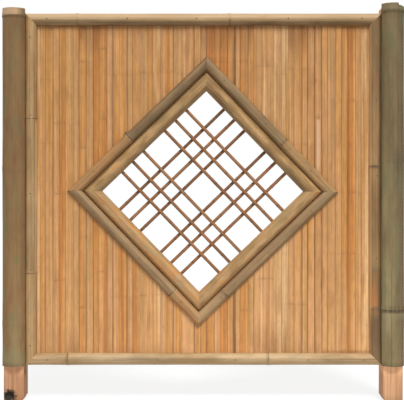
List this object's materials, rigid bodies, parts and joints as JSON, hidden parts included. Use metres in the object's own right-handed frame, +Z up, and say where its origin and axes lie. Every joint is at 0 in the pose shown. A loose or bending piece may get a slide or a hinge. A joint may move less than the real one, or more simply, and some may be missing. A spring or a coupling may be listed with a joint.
{
  "type": "bamboo fence panel",
  "caption": "Upright bamboo fence panel: split slats in a half-round bamboo border between timber posts faced with split culms, with a mitred diamond window and a stick lattice.",
  "frame": {"origin": "on the ground, at the middle of the panel's length and depth", "axes": "+Z up, front of the panel to -Y, left post at -X as seen from the front"},
  "size_m": [1.8036, 0.1228, 1.782],
  "materials": {
    "post_timber": "sawn, a little weathered",
    "frame_timber": "sawn",
    "culm_bamboo": "weathered, matt",
    "border_bamboo": "dull sheen",
    "window_bamboo": "dull sheen",
    "slat_bamboo": "satin",
    "lattice_bamboo": "satin"
  },
  "bodies": {
    "root": {"bottom_rail": "frame_timber", "bottom_trim": "border_bamboo", "lattice_falling_1": "lattice_bamboo", "lattice_falling_2": "lattice_bamboo", "lattice_falling_3": "lattice_bamboo", "lattice_falling_4": "lattice_bamboo", "lattice_falling_5": "lattice_bamboo", "lattice_falling_6": "lattice_bamboo", "lattice_rising_1": "lattice_bamboo", "lattice_rising_2": "lattice_bamboo", "lattice_rising_3": "lattice_bamboo", "lattice_rising_4": "lattice_bamboo", "lattice_rising_5": "lattice_bamboo", "lattice_rising_6": "lattice_bamboo", "left_middle_rail": "frame_timber", "left_post": "post_timber", "left_post_culm": "culm_bamboo", "left_trim": "border_bamboo", "right_middle_rail": "frame_timber", "right_post": "post_timber", "right_post_culm": "culm_bamboo", "right_trim": "border_bamboo", "slat_left_1": "slat_bamboo", "slat_left_2": "slat_bamboo", "slat_left_3": "slat_bamboo", "slat_left_4": "slat_bamboo", "slat_left_5": "slat_bamboo", "slat_left_6": "slat_bamboo", "slat_left_7": "slat_bamboo", "slat_left_8": "slat_bamboo", "slat_left_9": "slat_bamboo", "slat_right_1": "slat_bamboo", "slat_right_2": "slat_bamboo", "slat_right_3": "slat_bamboo", "slat_right_4": "slat_bamboo", "slat_right_5": "slat_bamboo", "slat_right_6": "slat_bamboo", "slat_right_7": "slat_bamboo", "slat_right_8": "slat_bamboo", "slat_right_9": "slat_bamboo", "slats_above_window_left": "slat_bamboo", "slats_above_window_right": "slat_bamboo", "slats_below_window_left": "slat_bamboo", "slats_below_window_right": "slat_bamboo", "top_rail": "frame_timber", "top_trim": "border_bamboo", "window_board_lower_left": "frame_timber", "window_board_lower_right": "frame_timber", "window_board_upper_left": "frame_timber", "window_board_upper_right": "frame_timber", "window_lining_lower_left": "window_bamboo", "window_lining_lower_right": "window_bamboo", "window_lining_upper_left": "window_bamboo", "window_lining_upper_right": "window_bamboo", "window_trim_lower_left": "window_bamboo", "window_trim_lower_right": "window_bamboo", "window_trim_upper_left": "window_bamboo", "window_trim_upper_right": "window_bamboo"}
  },
  "joints": []
}
